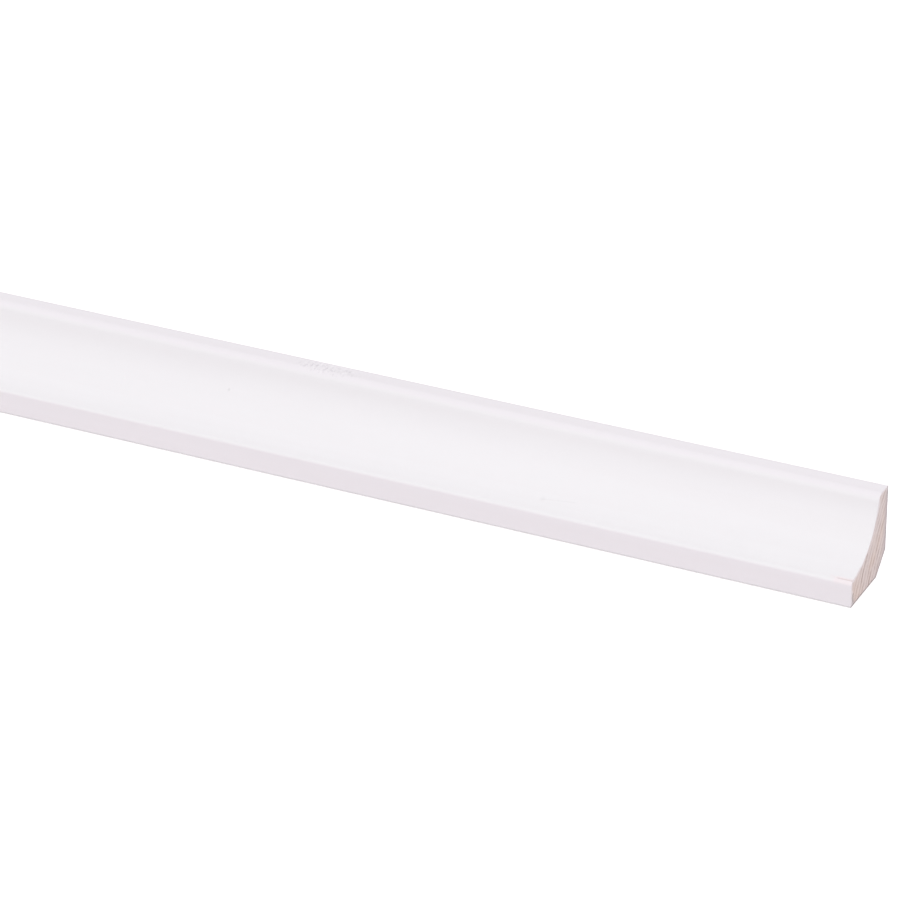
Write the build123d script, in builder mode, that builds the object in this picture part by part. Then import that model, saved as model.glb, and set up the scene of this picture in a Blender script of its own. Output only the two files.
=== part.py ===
"""Cove moulding: one planed length of softwood trim, white primed, with its ends sawn square.

It lies on its bottom face as it does along a floor or a bench: X runs along the length,
the hollow looks to the front (-Y) and up, and the back face (+Y) goes against a wall.
The origin is at the middle of the length and depth, on the bottom face.
"""

import os

from build123d import *

# Driving dimensions, in millimetres
length = 2400.0          # sold length, from sawn end to sawn end
depth = 28.0             # front face to back face
height = 28.0            # bottom face to top face
top_land = 7.4           # flat above the hollow, from the back face to the hollow's upper edge
front_land = 8.4         # flat below the hollow, from the bottom face to the hollow's lower edge
cove_depth = 5.3         # how far the hollow sinks below a straight line between its two edges
bevel_run = 7.0          # bevel on the hidden corner, measured along the bottom face
bevel_rise = 6.2         # bevel on the hidden corner, measured up the back face
top_nose_radius = 3.0    # rounding between the top land and the hollow
front_nose_radius = 1.1  # rounding between the hollow and the front land
eased_radius = 0.5       # light easing of the other planed arrises

front_y = -depth / 2
back_y = depth / 2

# The moulder's section, drawn on the plane across the length: u is the depth, v the height
with BuildPart() as moulding:
    with BuildSketch(Plane.YZ) as section:
        with BuildLine():
            hollow = SagittaArc((back_y - top_land, height), (front_y, front_land), cove_depth)
            Polyline(
                hollow @ 1,
                (front_y, 0),
                (back_y - bevel_run, 0),
                (back_y, bevel_rise),
                (back_y, height),
                hollow @ 0,
            )
        make_face()

        # The two arrises beside the hollow are rounded by the cutter, the other four are only eased
        top_corners = section.vertices().group_by(Axis.Y)[-1].sort_by(Axis.X)
        front_corners = section.vertices().group_by(Axis.X)[0].sort_by(Axis.Y)
        top_nose = top_corners[0]
        front_nose = front_corners[-1]
        eased = section.vertices().filter_by(lambda v: v not in (top_nose, front_nose))
        fillet(eased, radius=eased_radius)
        fillet(section.vertices().sort_by_distance(top_nose)[0], radius=top_nose_radius)
        fillet(section.vertices().sort_by_distance(front_nose)[0], radius=front_nose_radius)

    # One straight run through the moulder, sawn square at both ends
    extrude(amount=length / 2, both=True)

moulding.part.label = "cove_moulding"

os.makedirs("parts", exist_ok=True)
export_step(moulding.part, "parts/cove_moulding.step")

print("section area %.1f mm2, solid %.0f mm3" % (section.sketch.area, moulding.part.volume))
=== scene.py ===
# %% [markdown]
# # A length of cove moulding, from its section to its finish
# The object is one stick of softwood trim. A moulder planes a hollow along one corner of the stick, the
# factory sprays it with white primer, and a saw cuts it square to length. So the whole shape is one rule,
# a section drawn along a line, and almost everything else is finish: the primer, the bare sawn wood at
# the ends and a few small marks.
#
# The measured solid comes in first and stays fixed. The script then lays a finer skin over the same
# section, dents it where the real one is dented, and dresses it.

# %% Load the measured solid and read its box
import math

import bpy
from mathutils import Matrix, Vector


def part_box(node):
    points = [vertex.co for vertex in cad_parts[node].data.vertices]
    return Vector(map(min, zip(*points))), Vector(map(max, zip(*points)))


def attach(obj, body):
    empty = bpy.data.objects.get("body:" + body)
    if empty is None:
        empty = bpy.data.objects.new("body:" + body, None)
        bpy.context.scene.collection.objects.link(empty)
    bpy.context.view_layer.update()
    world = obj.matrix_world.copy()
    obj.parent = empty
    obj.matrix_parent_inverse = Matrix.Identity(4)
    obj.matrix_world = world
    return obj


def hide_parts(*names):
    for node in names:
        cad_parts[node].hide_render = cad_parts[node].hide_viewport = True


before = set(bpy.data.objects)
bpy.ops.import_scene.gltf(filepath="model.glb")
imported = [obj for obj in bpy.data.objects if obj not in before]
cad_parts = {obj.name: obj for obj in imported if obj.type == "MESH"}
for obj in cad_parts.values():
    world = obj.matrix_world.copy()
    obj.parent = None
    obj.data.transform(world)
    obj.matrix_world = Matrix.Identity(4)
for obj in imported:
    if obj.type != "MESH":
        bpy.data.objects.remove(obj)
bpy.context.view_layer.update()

low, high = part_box("cove_moulding")
length, depth, height = high - low
front_y = low.y
back_y = high.y
end_x = high.x
print("stick of %.0f x %.1f x %.1f mm" % (1000 * length, 1000 * depth, 1000 * height))

# %% [markdown]
# ## The section
# Seen from the end, the stick has a flat top land, a hollow, a flat front land, a flat bottom and an
# upright back, with a bevel planed off the hidden corner between the last two. The hollow is one arc.
# The cutter leaves a rounded nose at each edge of the hollow, and the other arrises are only eased.
#
# The outline could be drawn as a Bezier curve by eye, but each of these is a plain circle or a straight
# run, so the centres come from a little geometry: a rounding between a line and a circle has its own
# centre one radius from both.

# %% Sizes of the section, in metres
top_land = 0.0074
front_land = 0.0084
cove_depth = 0.0053
bevel_run = 0.0070
bevel_rise = 0.0062
top_nose_radius = 0.0030
front_nose_radius = 0.0011
eased_radius = 0.0005

# %% The hollow's circle, through both of its edges
upper_edge = Vector((back_y - top_land, height))
lower_edge = Vector((front_y, front_land))
half_chord = (upper_edge - lower_edge) / 2
cove_radius = (half_chord.length_squared + cove_depth**2) / (2 * cove_depth)
into_room = Vector((-half_chord.y, half_chord.x)).normalized()
cove_centre = (upper_edge + lower_edge) / 2 + into_room * (cove_radius - cove_depth)
print("hollow of radius %.1f mm" % (1000 * cove_radius))

# %% The noses, each one radius from its land and from the hollow


def other_leg(hypotenuse, leg):
    """The other leg of a right triangle, for the place where a circle meets a line."""
    return math.sqrt(hypotenuse**2 - leg**2)


def crest(nose, radius, land_way):
    """The middle of a nose, halfway round from its land to the hollow."""
    hollow_way = (cove_centre - nose).normalized()
    return nose + (land_way + hollow_way).normalized() * radius


top_drop = height - top_nose_radius - cove_centre.y
top_nose = cove_centre + Vector((other_leg(cove_radius + top_nose_radius, top_drop), top_drop))
top_crest = crest(top_nose, top_nose_radius, Vector((0.0, 1.0)))

front_inset = front_y + front_nose_radius - cove_centre.x
front_nose = cove_centre + Vector((front_inset, -other_leg(cove_radius + front_nose_radius, front_inset)))
front_crest = crest(front_nose, front_nose_radius, Vector((-1.0, 0.0)))
print("noses crest at %.1f and %.1f mm high" % (1000 * top_crest.y, 1000 * front_crest.y))

# %% Points along straight runs, arcs and eased corners


def run(start, end, count):
    """Points on a straight run, up to but not including its end."""
    return [start.lerp(end, step / count) for step in range(count)]


def arc(centre, start, end, count):
    """Points on the short arc about a centre, up to but not including its end."""
    radius = (start - centre).length
    first = (start - centre).normalized()
    last = (end - centre).normalized()
    return [centre + radius * first.slerp(last, step / count) for step in range(count)]


def eased(before, corner, after):
    """Centre, first, middle and last point of the easing on a corner between two straight runs."""
    back = (before - corner).normalized()
    on = (after - corner).normalized()
    half = back.angle(on) / 2
    reach = eased_radius / math.tan(half)
    centre = corner + (back + on).normalized() * (eased_radius / math.sin(half))
    middle = centre + (corner - centre).normalized() * eased_radius
    return centre, corner + back * reach, middle, corner + on * reach


# %% [markdown]
# The end of the stick will be a curved patch with four sides, and the skin along the stick has to meet it
# point for point. So the outline is walked in those four sides: hollow, top, outer side, front. Opposite
# sides have the same number of steps.

# %% Corners and turning points of the outline
toe_corner = Vector((front_y, 0.0))
heel_corner = Vector((back_y - bevel_run, 0.0))
hip_corner = Vector((back_y, bevel_rise))
crown_corner = Vector((back_y, height))

toe = eased(heel_corner, toe_corner, lower_edge)
heel = eased(hip_corner, heel_corner, toe_corner)
hip = eased(crown_corner, hip_corner, heel_corner)
crown = eased(upper_edge, crown_corner, hip_corner)

hollow_top = cove_centre + (top_nose - cove_centre).normalized() * cove_radius
hollow_foot = cove_centre + (front_nose - cove_centre).normalized() * cove_radius
top_flat_end = top_nose + Vector((0.0, top_nose_radius))
front_flat_end = front_nose - Vector((front_nose_radius, 0.0))

# %% Walk the outline in four sides
along_steps = 150
across_steps = 44
nose_half = 9
easing_half = 3
back_steps = 60
bevel_steps = 24
bottom_steps = along_steps - back_steps - bevel_steps - 6 * easing_half
land_steps = across_steps - nose_half - easing_half

hollow_side = (
    arc(front_nose, front_crest, hollow_foot, nose_half)
    + arc(cove_centre, hollow_foot, hollow_top, along_steps - 2 * nose_half)
    + arc(top_nose, hollow_top, top_crest, nose_half)
)
top_side = (
    arc(top_nose, top_crest, top_flat_end, nose_half)
    + run(top_flat_end, crown[1], land_steps)
    + arc(crown[0], crown[1], crown[2], easing_half)
)
outer_side = (
    arc(crown[0], crown[2], crown[3], easing_half)
    + run(crown[3], hip[1], back_steps)
    + arc(hip[0], hip[1], hip[3], 2 * easing_half)
    + run(hip[3], heel[1], bevel_steps)
    + arc(heel[0], heel[1], heel[3], 2 * easing_half)
    + run(heel[3], toe[1], bottom_steps)
    + arc(toe[0], toe[1], toe[2], easing_half)
)
front_side = (
    arc(toe[0], toe[2], toe[3], easing_half)
    + run(toe[3], front_flat_end, land_steps)
    + arc(front_nose, front_flat_end, front_crest, nose_half)
)
outline = hollow_side + top_side + outer_side + front_side
print("outline of %d points" % len(outline))

# %% [markdown]
# ## Writing node trees as expressions
# The shape and both finishes are node trees. One small class wraps a socket, so that trees read like
# arithmetic: plain values go to Math nodes, and vectors and colours to Vector Math and Mix nodes. It works
# in a geometry tree and in a material alike, so one expression can dent the mesh and stain the paint.

# %% A socket that can be added, scaled and mixed


class Wire:
    """An output socket of a node tree, or the bare tree where no socket is named yet."""

    def __init__(self, tree, socket=None):
        self.tree = tree
        self.socket = socket

    def node(self, kind, settings=None, sockets=None, output=0):
        """Adds a node: its type, its settings, then the values or links of its sockets."""
        made = self.tree.nodes.new(kind)
        for name, value in (settings or {}).items():
            setattr(made, name, value)
        for name, value in (sockets or {}).items():
            self.feed(made.inputs[name], value)
        return Wire(self.tree, made.outputs[output] if made.outputs else None)

    def feed(self, socket, value):
        """Links a socket, or sets its value."""
        if isinstance(value, Wire):
            self.tree.links.new(value.socket, socket)
        elif isinstance(value, list):
            for item in reversed(value):
                self.tree.links.new(item.socket, socket)
        elif socket.type == "RGBA":
            socket.default_value = (*value, 1.0)
        elif socket.type == "VECTOR" and isinstance(value, (int, float)):
            socket.default_value = (value, value, value)
        else:
            socket.default_value = value

    def other(self, output):
        """Another output of the same node."""
        return Wire(self.tree, self.socket.node.outputs[output])

    def is_vector(self):
        return self.socket.type in ("VECTOR", "RGBA")

    def maths(self, operation, *terms):
        vector = any(isinstance(t, (tuple, Vector)) or isinstance(t, Wire) and t.is_vector() for t in terms)
        kind = "ShaderNodeVectorMath" if vector else "ShaderNodeMath"
        return self.node(kind, {"operation": operation}, dict(enumerate(terms)))

    def __add__(self, other):
        return self.maths("ADD", self, other)

    def __radd__(self, other):
        return self.maths("ADD", other, self)

    def __sub__(self, other):
        return self.maths("SUBTRACT", self, other)

    def __rsub__(self, other):
        return self.maths("SUBTRACT", other, self)

    def __mul__(self, other):
        return self.maths("MULTIPLY", self, other)

    def __rmul__(self, other):
        return self.maths("MULTIPLY", other, self)

    def __truediv__(self, other):
        return self.maths("DIVIDE", self, other)

    def __mod__(self, other):
        return self.maths("MODULO", self, other)

    def at_most(self, other):
        return self.maths("MINIMUM", self, other)

    def at_least(self, other):
        return self.maths("MAXIMUM", self, other)

    def floor(self):
        return self.maths("FLOOR", self)

    def fraction(self):
        return self.maths("FRACT", self)

    def sine(self):
        return self.maths("SINE", self)

    def absolute(self):
        return self.maths("ABSOLUTE", self)

    def dot(self, other):
        return self.node("ShaderNodeVectorMath", {"operation": "DOT_PRODUCT"}, {0: self, 1: other}, "Value")

    def length(self):
        return self.node("ShaderNodeVectorMath", {"operation": "LENGTH"}, {0: self}, "Value")

    def split(self):
        """The three parts of a vector."""
        x = self.node("ShaderNodeSeparateXYZ", {}, {"Vector": self})
        return x, x.other("Y"), x.other("Z")

    def joined(self, x, y, z):
        return self.node("ShaderNodeCombineXYZ", {}, {"X": x, "Y": y, "Z": z})

    def fade(self, start, end):
        """0 before start and 1 after end, with a smooth step between them."""
        sockets = {"Value": self, "From Min": start, "From Max": end}
        return self.node("ShaderNodeMapRange", {"interpolation_type": "SMOOTHSTEP"}, sockets)

    def noise(self, scale, detail=2.0):
        """Noise between 0 and 1 at this place. The scale may differ along x, y and z."""
        sockets = {"Vector": self * scale, "Scale": 1.0, "Detail": detail}
        return self.node("ShaderNodeTexNoise", {}, sockets)

    def between(self, first, second):
        """The first colour where this value is 0, the second where it is 1."""
        sockets = {0: self, 6: first, 7: second}
        return self.node("ShaderNodeMix", {"data_type": "RGBA"}, sockets, 2)


# %% [markdown]
# ## Growth rings
# The stick was sawn from a tree, so its rings are cylinders about a pith that lies outside the section,
# below and behind it. The same expression gives the relief of the sawn ends, the colour of the end grain
# and the faint raised grain under the primer, because it only asks where a point is. A wood picture
# wrapped around the stick couldn't do that: its lines would not meet at the arrises.

# %% Distances in the section


def from_line(place, spot):
    """How far a place lies from the line along the stick through this spot of the section."""
    _, y, z = place.split()
    return place.joined(0.0, y - spot.x, z - spot.y).length()


def from_stroke(place, start, end):
    """How far a place lies from a straight stroke between two points."""
    stroke = end - start
    share = (place - start).dot(stroke / stroke.length_squared).at_least(0.0).at_most(1.0)
    return (place - start - share * stroke).length()


# %% Dense late wood at the end of each year's growth
ring_width = 0.0025
ring_waver = 0.0018
weather_spell = 0.006
pith = Vector((0.071, -0.032))
pith_drift = 0.004


def years_grown(place):
    """The tree's age when it grew the wood at a place. Spells of good weather make wide rings."""
    x, _, _ = place.split()
    waver = (place.noise((3.0, 120.0, 120.0)) - 0.5) * ring_waver
    reach = from_line(place + place.joined(0.0, x * pith_drift, 0.0), pith) + waver
    weather = place.joined(reach / weather_spell, 0.0, 0.0).noise(1.0)
    return reach / ring_width + weather


def latewood(place):
    """Up to 1 in the dense dark band that ends each year's growth, 0 in the pale early wood."""
    years = years_grown(place)
    season = years.fraction()
    band = season.fade(0.25, 0.80) * (1 - season.fade(0.94, 1.0))
    density = place.joined(years.floor() * 2.7, 0.0, 0.0).noise(1.0).fade(0.3, 0.7)
    return band * (0.45 + density * 0.55)


print("about %d rings across the section" % round(depth / ring_width))

# %% [markdown]
# ## Marks of making and handling
# The real stick isn't perfect. Something rough was dragged over the top land and left a bruised patch,
# the primer wore thin and chipped at the front nose beside the saw cut, the wood split there, two specks
# of dust dried into the coat, and a hairline scratch starts from a smudge in the hollow.
#
# They could be sculpted or painted by hand. As expressions of place they stay sharp at any distance, and
# the geometry tree and the primer can share them, so that stains and dents fall on the same spot.

# %% The bruised patch on the top land
bruise_x = end_x - 0.186
bruise_y = back_y - 0.0037
bruise_half_length = 0.0125
bruise_half_width = 0.0036


def bruise(place):
    """1 in the pits of the patch, -1 on the burrs between them, which get a painted highlight, and 0 around
    it.
    """
    x, y, z = place.split()
    off_x = (x - bruise_x) / bruise_half_length
    off_y = (y - bruise_y) / bruise_half_width
    inside = 1 - place.joined(off_x, off_y, 0.0).length().fade(0.4, 1.1)
    on_top = z.fade(height - 0.0012, height - 0.0005)
    rough = place.noise((1150.0, 480.0, 0.0))
    pits = rough.fade(0.52, 0.66)
    burrs = 1 - rough.fade(0.34, 0.42)
    return (pits - burrs) * inside * on_top


# %% Places in the hollow


def on_hollow(from_end, share):
    """A point of the hollow, by its distance from the cut and its share of the way up the arc."""
    first = (hollow_foot - cove_centre).normalized()
    last = (hollow_top - cove_centre).normalized()
    spot = cove_centre + first.slerp(last, share) * cove_radius
    return Vector((end_x - from_end, spot.x, spot.y))


# %% The worn spot and the split on the front nose
worn_length = 0.0068
worn_half_width = 0.0018
worn_raggedness = 0.004
split_line = on_hollow(0.0, 0.022).yz
split_half_width = 0.00022
split_spread = 0.00020
split_waver = 0.0002
chip_middle = on_hollow(0.0, 0.13).yz
chip_length = 0.0005
chip_reach = 0.0040


def worn(place):
    """1 where the primer wore thin on the nose, beside the saw cut."""
    x, _, _ = place.split()
    ragged = (place.noise(500.0) - 0.5) * worn_raggedness
    near_cut = 1 - (end_x - x + ragged).fade(worn_length - 0.002, worn_length + 0.001)
    off_nose = from_line(place, hollow_foot) + ragged * 0.2
    on_nose = 1 - off_nose.fade(0.4 * worn_half_width, worn_half_width)
    return near_cut * on_nose


def crack(place):
    """A split along the worn spot, widest at the cut. Its sides stand upright, so only y tells them."""
    x, y, _ = place.split()
    from_cut = end_x - x
    half_width = from_cut.fade(worn_length, 0.0) * split_spread + split_half_width
    waver = (place.noise((250.0, 0.0, 0.0)) - 0.5) * split_waver
    off_middle = (y - split_line.x + waver).absolute()
    near_cut = 1 - from_cut.fade(0.5 * worn_length, worn_length)
    near_line = 1 - from_line(place, split_line).fade(0.0008, 0.0012)
    return near_cut * near_line * (1 - (off_middle / half_width).fade(0.4, 1.0))


def chipped(place):
    """1 where the coat broke off along the cut, beside the worn spot."""
    x, _, _ = place.split()
    near_cut = 1 - (end_x - x).fade(0.4 * chip_length, chip_length)
    near_foot = 1 - from_line(place, chip_middle).fade(0.625 * chip_reach, chip_reach)
    return near_cut * near_foot


# %% Specks of dust, a smudge and a scratch in the hollow
speck_radius = 0.0008
smudge_radius = 0.0014
pale_speck = on_hollow(0.2542, 0.530)
dark_speck = on_hollow(0.2172, 0.670)
smudge = on_hollow(0.1034, 0.195)
scratch_end = on_hollow(0.0932, 0.245)


def speck(place, spot, radius):
    return 1 - (place - spot).length().fade(0.0, radius)


def scratch(place):
    waver = (place.noise(500.0) - 0.5) * 0.0003
    return 1 - (from_stroke(place, smudge, scratch_end) + waver).fade(0.00008, 0.00025)


speck_places = tuple(1000 * (end_x - spot.x) for spot in (pale_speck, dark_speck))
print("specks %.0f and %.0f mm from the cut" % speck_places)

# %% [markdown]
# ## The primer
# Primer is a thin flat white with a trace of lavender. The lands get a more lavender copy of it than the
# hollow, a painted tint of the light that falls on them. On planed pine it is never quite even: it has a
# fine orange peel, the grain swells and prints through it, knives of the moulder leave shallow ripples, and
# the lowest and the highest arris carry a grey line of painted shade. The hidden faces get a thinner coat.
#
# All of that stays small. A strong texture would look like stone, so each part moves the colour by a
# percent or two and the surface by a few thousandths of a millimetre.

# %% A new finish, and its shader


def new_finish(name):
    """A material with an empty tree, and the place of each of its points on the object."""
    material = bpy.data.materials.new(name)
    material.use_nodes = True
    material.node_tree.nodes.clear()
    return material, Wire(material.node_tree).node("ShaderNodeTexCoord", {}, {}, "Object")


def finish(place, colour, roughness, relief, gloss):
    """Ends a material's tree. The relief is in millimetres."""
    normal = place.node("ShaderNodeBump", {}, {"Strength": 1.0, "Distance": 0.001, "Height": relief})
    sockets = {"Base Color": colour, "Roughness": roughness, "Normal": normal, "Specular IOR Level": gloss}
    shader = place.node("ShaderNodeBsdfPrincipled", {}, sockets)
    place.node("ShaderNodeOutputMaterial", {}, {"Surface": shader})


# %% Where the coat is thin


def under_hollow(place):
    """Depth below the hollow."""
    return from_line(place, cove_centre) - cove_radius


def under_bevel(place):
    """Depth below the bevel."""
    _, y, z = place.split()
    slope = math.hypot(bevel_run, bevel_rise)
    return (z * bevel_run - (y - heel_corner.x) * bevel_rise) / slope


def under_outer_faces(place):
    """Depth below the nearest of the bottom, the bevel and the back."""
    _, y, z = place.split()
    return z.at_most(back_y - y).at_most(under_bevel(place))


def along_arris(place, corner, width):
    """1 on an arris and 0 further than this from it."""
    return 1 - from_line(place, corner).fade(0.4 * width, width)


# %% Colours of the primer
hollow_white = (0.905, 0.899, 0.914)
land_white_lit_tint = (0.909, 0.884, 0.914)
grain_shadow = (0.80, 0.745, 0.735)
arris_shade_grey = (0.64, 0.69, 0.67)
bruised_grey = (0.70, 0.68, 0.71)
burr_highlight_white = (0.97, 0.955, 0.975)
bare_wood_and_highlight = (0.935, 0.855, 0.875)
split_wood_and_shade = (0.75, 0.665, 0.655)
dust_grey = (0.62, 0.61, 0.62)

# %% Spray the primer
arris_shade_width = 0.0008

primer, place = new_finish("white_primer")
x, _, _ = place.split()
hidden = 1 - under_outer_faces(place).fade(0.0001, 0.0004)
grain = latewood(place)
peel = place.noise(900.0)
cloud = place.noise((5.0, 60.0, 60.0), 3.0).fade(0.3, 0.7)

in_hollow = 1 - under_hollow(place).fade(0.0001, 0.0008)
# The lands take a more lavender white than the hollow, a painted tint of the light that falls on them.
coat = in_hollow.between(land_white_lit_tint, hollow_white) * (1 - cloud * 0.017)
coat = (grain * (0.04 + hidden * 0.25)).between(coat, grain_shadow)
# A grey line of painted shade along the toe arris, where the stick meets the floor, and a fainter one along
# the crown arris.
coat = (along_arris(place, toe_corner, arris_shade_width) * 0.35).between(coat, arris_shade_grey)
coat = (along_arris(place, crown_corner, arris_shade_width) * 0.4).between(coat, arris_shade_grey)
coat = (bruise(place).at_least(0.0) * 0.6).between(coat, bruised_grey)
# The burrs have no relief of their own: their light spots are a painted highlight.
coat = (bruise(place).at_most(0.0) * -0.6).between(coat, burr_highlight_white)
# The worn spot shows bare wood, in a paler tone that also paints the highlight along the split's lips.
coat = (worn(place) * 0.8).between(coat, bare_wood_and_highlight)
# The split and the chip take a colour darker than the bare wood beside them: the wood they open, with
# painted shade inside the split.
coat = crack(place).at_least(chipped(place) * 0.6).between(coat, split_wood_and_shade)
coat = (scratch(place) * 0.1).between(coat, dust_grey)
coat = (speck(place, smudge, smudge_radius) * 0.15).between(coat, dust_grey)
coat = (speck(place, dark_speck, speck_radius) * 0.35).between(coat, dust_grey)

knife_pitch = 0.0016
ripple = (x * (2 * math.pi / knife_pitch)).sine()
relief = peel * 0.006 + grain * (0.004 + hidden * 0.008) + ripple * 0.0008 - scratch(place) * 0.015
finish(place, coat, 0.50 + peel * 0.12, relief, 0.4)
print("%s of %d nodes" % (primer.name, len(primer.node_tree.nodes)))

# %% [markdown]
# ## The sawn ends
# The saw cuts after the primer has dried, so the ends are bare. Across the grain, pale early wood and
# dense late wood make bands, fine rays cross them, and the pores look like specks. The primer soaked a
# little way into the cut from every coated face, and its mist drifted further in along the hollow. A dark
# line of painted shade runs round the outer rim, the toe gets grey painted shade where it meets the floor,
# and the saw tore out a splinter beside the front face.
#
# The rays run straight away from the pith, so they are noise in polar coordinates about it: fine around,
# long outwards. The scratches of the saw are the same about the blade's arbor, the other way round.

# %% Noise that turns about a line


def around(place, middle, turns, outwards):
    """Noise about a line along the stick, with its detail per radian and per metre outwards."""
    _, y, z = place.split()
    turn = place.maths("ARCTAN2", z - middle.y, y - middle.x)
    return place.joined(turn * turns, from_line(place, middle) * outwards, 0.0).noise(1.0)


# %% The splinter that the saw tore out beside the front face
splinter_foot = Vector((end_x, front_y + 0.0020, 0.0015))
splinter_tip = Vector((end_x, front_y + 0.0021, 0.0035))


def splinter(place):
    return 1 - from_stroke(place, splinter_foot, splinter_tip).fade(0.0002, 0.0007)


# %% Colours of the end grain
early_pale = (0.952, 0.852, 0.822)
late_tan = (0.52, 0.41, 0.37)
resin_warm = (0.84, 0.69, 0.60)
ray_pale = (0.92, 0.85, 0.83)
rim_shade_and_tear_grey = (0.31, 0.285, 0.29)
soaked_white = (0.96, 0.912, 0.925)
edge_mauve = (0.66, 0.60, 0.61)
toe_shade_grey = (0.53, 0.52, 0.54)

# %% Cut the end grain
resin_reach = 0.012

end_grain, place = new_finish("sawn_end_grain")
_, y, z = place.split()
rays = around(place, pith, 1500.0, 90.0).fade(0.52, 0.70)
pores = place.noise((200.0, 3200.0, 3200.0)).fade(0.45, 0.75)
tone = place.noise((90.0, 260.0, 260.0))
patches = place.noise((60.0, 330.0, 330.0)).fade(0.36, 0.64)

fibres = around(place, pith, 14.0, 1100.0).fade(0.35, 0.65)
wood = (latewood(place) * (0.4 + patches * 0.6)).between(early_pale, late_tan)
wood = (fibres * 0.25).between(wood, late_tan)
warm = place.noise((20.0, 110.0, 110.0)).fade(0.45, 0.75)
warm = warm.at_least(along_arris(place, toe_corner, resin_reach))
wood = (warm * 0.45).between(wood, resin_warm)
wood = (pores * 0.22).between(wood, late_tan)
wood = (rays * 0.3).between(wood, ray_pale)

# %% Overspray on the cut, mauve bands along the back and the bevel, and painted shade at the toe
mist_reach = 0.007
back_band_reach = 0.0035
bevel_band_reach = 0.004
toe_shade_reach = 0.0042

from_hollow = under_hollow(place)
drifted = (1 - from_hollow.fade(0.0, mist_reach)) * z.fade(0.006, 0.014)
wood = (drifted * (0.10 + tone * 0.40)).between(wood, soaked_white)
# A mauve-grey band along the back edge of the cut, and a fainter one along the bevel.
back_band = 1 - (back_y - y).fade(0.0004, back_band_reach)
wood = (back_band * 0.6).between(wood, edge_mauve)
bevel_band = 1 - under_bevel(place).fade(0.0, bevel_band_reach)
wood = (bevel_band * 0.3).between(wood, edge_mauve)
# Painted shade at the toe of the cut, where the stick meets the floor.
wood = (along_arris(place, toe_corner, toe_shade_reach) * 0.75).between(wood, toe_shade_grey)

# %% Soaked primer and the painted shade along the rim
smear_reach = 0.0022
rim_width = 0.0006

run_in = z.fade(0.0190, 0.0225) * (1 - z.fade(0.0250, 0.0270))
soak_depth = 0.0005 + tone * 0.0008 + run_in * 0.0012
from_front = (y - front_y) * (0.36 + z.fade(0.0045, 0.0065) * 0.30)
from_coat = from_hollow.at_most(from_front).at_most((height - z) * 0.8)
soaked = 1 - (from_coat / soak_depth).fade(0.2, 1.0)
smeared = along_arris(place, crown_corner, smear_reach)
wood = soaked.at_least(smeared).between(wood, soaked_white)
# A dark line of painted shade along the bottom, the bevel and the back of the cut. The splinter takes the
# same dark grey.
rim_shade = 1 - under_outer_faces(place).fade(rim_width / 3, rim_width)
wood = (rim_shade * (0.5 + tone * 0.6)).between(wood, rim_shade_and_tear_grey)
wood = (splinter(place) * 0.55).between(wood, rim_shade_and_tear_grey)

finish(place, wood, 0.75 + pores * 0.15, pores * -0.03 + rays * 0.015, 0.25)
print("%s of %d nodes" % (end_grain.name, len(end_grain.node_tree.nodes)))

# %% [markdown]
# ## The stick
# Geometry Nodes suit a shape that follows a rule. A grid one unit apart knows its own row and column, so
# each of its points can look up a station along the stick and a point of the outline. The sawn ends are
# grids too, stretched between the four sides of the outline as a curved patch. Merging the rims gives one
# closed skin. A swept curve would make the same skin, but then the ends would be single many-sided faces
# with nothing in them to dent.
#
# Rows stand close together only where something small has to show.

# %% Stations along the stick
plain_step = 0.060
bruise_step = 0.00025
bruise_reach = 0.012
speck_step = 0.00015
cut_step = 0.00033
cut_reach = 0.009
fine_zones = (
    (bruise_x - bruise_reach, bruise_x + bruise_reach, bruise_step),
    (pale_speck.x - speck_radius, pale_speck.x + speck_radius, speck_step),
    (dark_speck.x - speck_radius, dark_speck.x + speck_radius, speck_step),
    (end_x - cut_reach, end_x, cut_step),
)


def stations():
    """Places along the stick, from the far end to the cut that shows."""
    plain = [-end_x + plain_step * step for step in range(round(length / plain_step))]
    places = [x for x in plain if not any(first <= x <= last for first, last, _ in fine_zones)]
    for first, last, step in fine_zones:
        count = round((last - first) / step)
        places += [first + (last - first) * i / count for i in range(count + 1)]
    return sorted(places)


rows = stations()
print("%d rows along the stick" % len(rows))

# %% Two carriers for the tree to sample


def carrier(name, points):
    """A bare set of points that a tree can look up by number."""
    mesh = bpy.data.meshes.new(name)
    mesh.from_pydata(points, [], [])
    return bpy.data.objects.new(name, mesh)


section_points = carrier("section_points", [(0.0, p.x, p.y) for p in outline])
station_points = carrier("station_points", [(x, 0.0, 0.0) for x in rows])

# %% [markdown]
# The tree below is the moulder and the saw. Its inputs are the two sets of points, the numbers of steps
# and the two finishes.

# %% Name the tree's inputs
tree = bpy.data.node_groups.new("planed_stick", "GeometryNodeTree")
tree.is_modifier = True
inputs = {
    "Section": ("Object", section_points),
    "Stations": ("Object", station_points),
    "Rows": ("Int", len(rows)),
    "Columns": ("Int", len(outline)),
    "Steps along the hollow": ("Int", along_steps),
    "Steps across a leg": ("Int", across_steps),
    "Half length": ("Float", end_x),
    "Primer": ("Material", primer),
    "End grain": ("Material", end_grain),
}
sockets = {}
for name, (kind, value) in inputs.items():
    made = tree.interface.new_socket(name, in_out="INPUT", socket_type="NodeSocket" + kind)
    sockets[made.identifier] = value
tree.interface.new_socket("Stick", in_out="OUTPUT", socket_type="NodeSocketGeometry")

start = Wire(tree).node("NodeGroupInput")
given = {name: start.other(name) for name in inputs}
place = start.node("GeometryNodeInputPosition")
half_length = given["Half length"]

# %% Steps that both grids need


def points_of(name):
    return start.node("GeometryNodeObjectInfo", {}, {"Object": given[name]}, "Geometry")


section = points_of("Section")
path = points_of("Stations")


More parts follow.
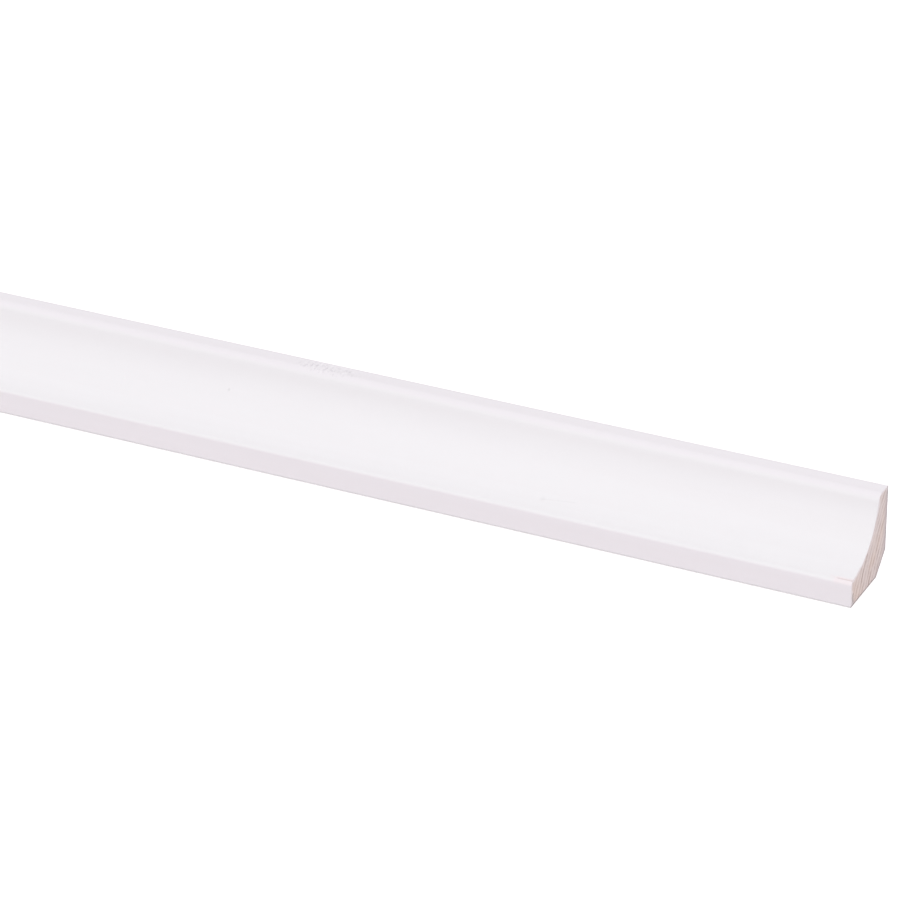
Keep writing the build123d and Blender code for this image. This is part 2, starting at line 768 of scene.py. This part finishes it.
def look_up(points, number):
    """The place of one numbered point."""
    settings = {"data_type": "FLOAT_VECTOR", "domain": "POINT"}
    sockets = {"Geometry": points, "Value": place, "Index": number.maths("ROUND", number)}
    return number.node("GeometryNodeSampleIndex", settings, sockets)


def grid(steps_x, steps_y):
    """A grid one unit apart, with the row and column of each of its points."""
    sizes = {"Size X": steps_x, "Size Y": steps_y, "Vertices X": steps_x + 1, "Vertices Y": steps_y + 1}
    mesh = start.node("GeometryNodeMeshGrid", {}, sizes, "Mesh")
    x, y, _ = place.split()
    return mesh, x + steps_x * 0.5, y + steps_y * 0.5


def store(geometry, name, kind, domain, value):
    settings = {"data_type": kind, "domain": domain}
    sockets = {"Geometry": geometry, "Name": name, "Value": value}
    return geometry.node("GeometryNodeStoreNamedAttribute", settings, sockets)


def moved(geometry, **sockets):
    return geometry.node("GeometryNodeSetPosition", {}, {"Geometry": geometry, **sockets})


# %% [markdown]
# The finished stick is nearly a hundred times as long as it is deep. An automatic unwrap would shrink all
# of it to fit that length, so the tree lays out its own map: the skin is cut into four bands that lie one
# above the other, and the two ends sit above them.

# %% Lay out a map of the surface
band_count = 4
band_rise = 0.163
band_pitch = 0.167
band_slack = 0.0001
end_map_size = 0.31
end_map_foot = 0.677
near_end_left = 0.02
far_end_left = 0.52


def on_faces(value):
    """The same for all corners of a face."""
    settings = {"data_type": "FLOAT", "domain": "FACE"}
    return value.node("GeometryNodeFieldOnDomain", settings, {"Value": value})


def share_along(station):
    """How far along the stick a station is, from 0 at the far end to 1."""
    x, _, _ = station.split()
    return x / half_length * 0.5 + 0.5


def band_map(row, share_around):
    """The place on the map of a point of the skin. A face lies in the band where its first row is."""
    first_row = look_up(path, row.floor())
    band = on_faces((share_along(first_row) * band_count + band_slack).floor())
    across = share_along(look_up(path, row)) * band_count - band
    return start.joined(across, band * band_pitch + share_around * band_rise, 0.0)


def end_map(place, left):
    """The place on the map of a point of an end."""
    _, y, z = place.split()
    across = (y - front_y) / depth * end_map_size + left
    return start.joined(across, z / height * end_map_size + end_map_foot, 0.0)


# %% Lay the skin: every row takes the whole outline
skin, row, column = grid(given["Rows"] - 1, given["Columns"])
skin = store(skin, "OFBake", "FLOAT2", "CORNER", band_map(row, column / given["Columns"]))
skin = moved(skin, Position=look_up(path, row) + look_up(section, column % given["Columns"]))

# %% Stretch a patch over the sawn end
along = given["Steps along the hollow"]
across = given["Steps across a leg"]
end, step_along, step_across = grid(along, across)
u = step_along / along
v = step_across / across

hollow = look_up(section, step_along)
outer = look_up(section, along * 2 + across - step_along)
front = look_up(section, (along * 2 + across * 2 - step_across) % given["Columns"])
top = look_up(section, along + step_across)
front_high = look_up(section, along * 0)
front_low = look_up(section, along * 2 + across)
top_high = look_up(section, along * 1)
top_low = look_up(section, along + across)

sides = hollow * (1 - v) + outer * v + front * (1 - u) + top * u
corners = (front_high * (1 - v) + front_low * v) * (1 - u) + (top_high * (1 - v) + top_low * v) * u
end = moved(end, Position=sides - corners)
end = store(end, "sawn", "FLOAT", "FACE", 1.0)


# %% Set an end at each cut


def set_at(geometry, x):
    sockets = {"Geometry": geometry, "Translation": start.joined(x, 0.0, 0.0)}
    return geometry.node("GeometryNodeTransform", {}, sockets)


near_end = end.node("GeometryNodeFlipFaces", {}, {"Mesh": end})
near_end = set_at(store(near_end, "OFBake", "FLOAT2", "CORNER", end_map(place, near_end_left)), half_length)
far_end = set_at(store(end, "OFBake", "FLOAT2", "CORNER", end_map(place, far_end_left)), half_length * -1)
stick = start.node("GeometryNodeJoinGeometry", {}, {"Geometry": [skin, near_end, far_end]})
stick = stick.node("GeometryNodeMergeByDistance", {}, {"Geometry": stick, "Distance": 1e-6})

# %% [markdown]
# ### Dents and saw marks
# A bump in a material fakes small relief, but an outline or a close view gives it away. These marks are
# moved points instead. The skin moves along its normals. The ends move straight into the stick: soft early
# wood tears deeper than late wood, and the teeth of a round blade leave arcs.

# %% How deep the skin is dented
bruise_depth = 0.00022
worn_depth = 0.00005
crack_depth = 0.00028
speck_height = 0.00016


def skin_dents(place):
    """Depth below the planed surface, in metres."""
    dust = speck(place, pale_speck, speck_radius).at_least(speck(place, dark_speck, speck_radius))
    pits = bruise(place).at_least(0.0)
    dents = pits * bruise_depth + worn(place) * worn_depth + crack(place) * crack_depth
    return dents - dust * speck_height


# %% How deep the saw tore
saw_arbor = Vector((0.080, 0.130))
soft_tear = 0.00004
splinter_depth = 0.00020
tooth_depth = 0.00008
fibre_depth = 0.00005


def saw_tear(place):
    """Depth below the plane of the cut, in metres."""
    scratches = around(place, saw_arbor, 25.0, 900.0)
    fibres = place.noise((0.0, 1500.0, 1500.0))
    torn = (1 - latewood(place)) * soft_tear + splinter(place) * splinter_depth
    return torn + scratches * tooth_depth + fibres * fibre_depth


# %% Dent the stick and give it its finishes
normal = start.node("GeometryNodeInputNormal")
sawn = start.node("GeometryNodeInputNamedAttribute", {"data_type": "FLOAT"}, {"Name": "sawn"})
x, _, _ = place.split()
stick = moved(stick, Offset=normal * (skin_dents(place) * (sawn - 1)))
stick = moved(stick, Offset=start.joined(x / half_length * saw_tear(place) * sawn * -1, 0.0, 0.0))

stick = stick.node("GeometryNodeRealizeInstances", {}, {"Geometry": stick})
stick = stick.node("GeometryNodeSetMaterial", {}, {"Geometry": stick, "Material": given["Primer"]})
is_sawn = sawn.node("FunctionNodeCompare", {"operation": "GREATER_THAN"}, {"A": sawn, "B": 0.5})
on_ends = {"Geometry": stick, "Selection": is_sawn, "Material": given["End grain"]}
stick = stick.node("GeometryNodeSetMaterial", {}, on_ends)
stick.node("NodeGroupOutput", {}, {"Stick": stick})
print("%s of %d nodes" % (tree.name, len(tree.nodes)))

# %% Run the tree and keep a plain mesh
moulding = bpy.data.objects.new("cove_moulding_dressed", bpy.data.meshes.new("cove_moulding_dressed"))
bpy.context.scene.collection.objects.link(moulding)
moulder = moulding.modifiers.new("moulder", "NODES")
moulder.node_group = tree
for identifier, value in sockets.items():
    moulder[identifier] = value

depsgraph = bpy.context.evaluated_depsgraph_get()
finished = bpy.data.meshes.new_from_object(moulding.evaluated_get(depsgraph))
moulding.modifiers.clear()
moulding.data = finished
finished.materials.pop(index=0)
finished.shade_smooth()
finished.set_sharp_from_angle(angle=math.radians(35))
for helper in (section_points, station_points):
    bpy.data.objects.remove(helper)

triangles = sum(len(face.vertices) - 2 for face in finished.polygons)
cut = finished.materials.find(end_grain.name)
cut_area = sum(face.area for face in finished.polygons if face.material_index == cut) / 2
print("stick of %d triangles, each cut of %.1f square mm" % (triangles, 1e6 * cut_area))

# %% Hand the stick to the frame
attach(moulding, "root")
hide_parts("cove_moulding")

# %% [markdown]
# ## The white studio
# The stick lies on white paper that runs out of view. The paper has to look white without flooding the
# stick with light, so it glows only for what the camera sees, directly or in a gloss, and stays a plain
# diffuse sheet for the light that bounces off it. It still takes the stick's shadow.

# %% Rays that end in the picture


def seen_rays(tree_start):
    """1 for what the camera sees, directly, in a gloss or through glass, and 0 for light on its way."""
    camera_ray = tree_start.node("ShaderNodeLightPath", {}, {}, "Is Camera Ray")
    glossy_ray = camera_ray.other("Is Glossy Ray")
    return camera_ray.at_least(glossy_ray).at_least(camera_ray.other("Is Transmission Ray"))


# %% Lay the paper
paper_white = (0.80, 0.765, 0.77)
paper_glow = 0.5
paper_size = 12.0
paper_gap = 0.0001

paper = bpy.data.materials.new("white_paper")
paper.use_nodes = True
paper.node_tree.nodes.clear()
sheet = Wire(paper.node_tree)
matt = sheet.node("ShaderNodeBsdfDiffuse", {}, {"Color": paper_white})
seen_glow = {"Color": (1.0, 1.0, 1.0), "Strength": seen_rays(sheet) * paper_glow}
glow = sheet.node("ShaderNodeEmission", {}, seen_glow)
both = sheet.node("ShaderNodeAddShader", {}, {0: matt, 1: glow})
sheet.node("ShaderNodeOutputMaterial", {}, {"Surface": both})

bpy.ops.mesh.primitive_plane_add(size=paper_size, location=(0.0, 0.0, -paper_gap))
floor = bpy.context.object
floor.name = "floor"
floor.data.materials.append(paper)
print("paper of %.0f m" % floor.dimensions.x)

# %% [markdown]
# ## Light
# A light tent gives even light from all round, and two large lamps outside it give the slope of the
# shading: one in front, half way up, and one high on the right that also reaches the sawn end. Area
# lamps close by would leave the far end of so long a stick in the dusk, so both are suns with a wide disc.
# Their strength is set so that the primer renders about as bright as its colour is written.

# %% The tent
tent_white = (1.0, 0.977, 0.996)
tent_strength = 0.675

world = bpy.data.worlds.new("light_tent")
bpy.context.scene.world = world
world.use_nodes = True
world.node_tree.nodes.clear()
tent = Wire(world.node_tree)
cloth = tent.node("ShaderNodeBackground", {}, {"Color": tent_white, "Strength": tent_strength})
white = tent.node("ShaderNodeBackground", {}, {"Color": (1.0, 1.0, 1.0), "Strength": 1.0})
both = tent.node("ShaderNodeMixShader", {}, {0: seen_rays(tent), 1: cloth, 2: white})
tent.node("ShaderNodeOutputWorld", {}, {"Surface": both})

# %% The lamps
lamp_spread = 38.0


def seen_from(azimuth, elevation):
    """The way to a viewer on this side, in degrees round from the front and up from the floor."""
    round_by = math.radians(azimuth)
    up_by = math.radians(elevation)
    level = Vector((math.sin(round_by), -math.cos(round_by), 0.0)) * math.cos(up_by)
    return level + Vector((0.0, 0.0, math.sin(up_by)))


def far_lamp(name, azimuth, elevation, strength):
    """A large lamp on this side, so far away that it lights the whole stick alike."""
    light = bpy.data.lights.new(name, "SUN")
    light.energy = strength
    light.angle = math.radians(lamp_spread)
    lamp = bpy.data.objects.new(name, light)
    lamp.rotation_euler = seen_from(azimuth, elevation).to_track_quat("Z", "Y").to_euler()
    bpy.context.scene.collection.objects.link(lamp)
    print("%s of %.2f W per square metre" % (name, strength))


far_lamp("front_lamp", azimuth=0.0, elevation=45.0, strength=0.60)
far_lamp("right_lamp", azimuth=60.0, elevation=60.0, strength=0.47)

# %% [markdown]
# ## Camera
# The view is a long lens from the front right. Three facts fix it: the way it looks, how many pixels wide
# the lens spreads one unit at unit distance, and the pixel and distance at which one corner of the cut
# appears. So the camera stands where that corner is in its place, with no shift.

# %% Stand the camera where the near corner falls on its pixel
view_azimuth = 25.73
view_elevation = 27.70
focal_pixels = 4509.0
picture_pixels = 900
corner_pixel = (850.55, 608.45)
corner_distance = 1.3364

to_viewer = seen_from(view_azimuth, view_elevation)
to_right = seen_from(view_azimuth + 90.0, 0.0)
to_up = to_viewer.cross(to_right)
near_corner = Vector((end_x, front_y, 0.0))
aside = (corner_pixel[0] - picture_pixels / 2) / focal_pixels * corner_distance
above = (picture_pixels / 2 - corner_pixel[1]) / focal_pixels * corner_distance

lens = bpy.data.cameras.new("camera")
lens.sensor_width = 36.0
lens.lens = focal_pixels / picture_pixels * lens.sensor_width
camera = bpy.data.objects.new("camera", lens)
camera.location = near_corner - to_right * aside - to_up * above + to_viewer * corner_distance
camera.rotation_euler = to_viewer.to_track_quat("Z", "Y").to_euler()
bpy.context.scene.collection.objects.link(camera)
bpy.context.scene.camera = camera
bpy.context.scene.view_settings.view_transform = "Standard"
print("lens of %.0f mm, %.2f m from the cut" % (lens.lens, corner_distance))
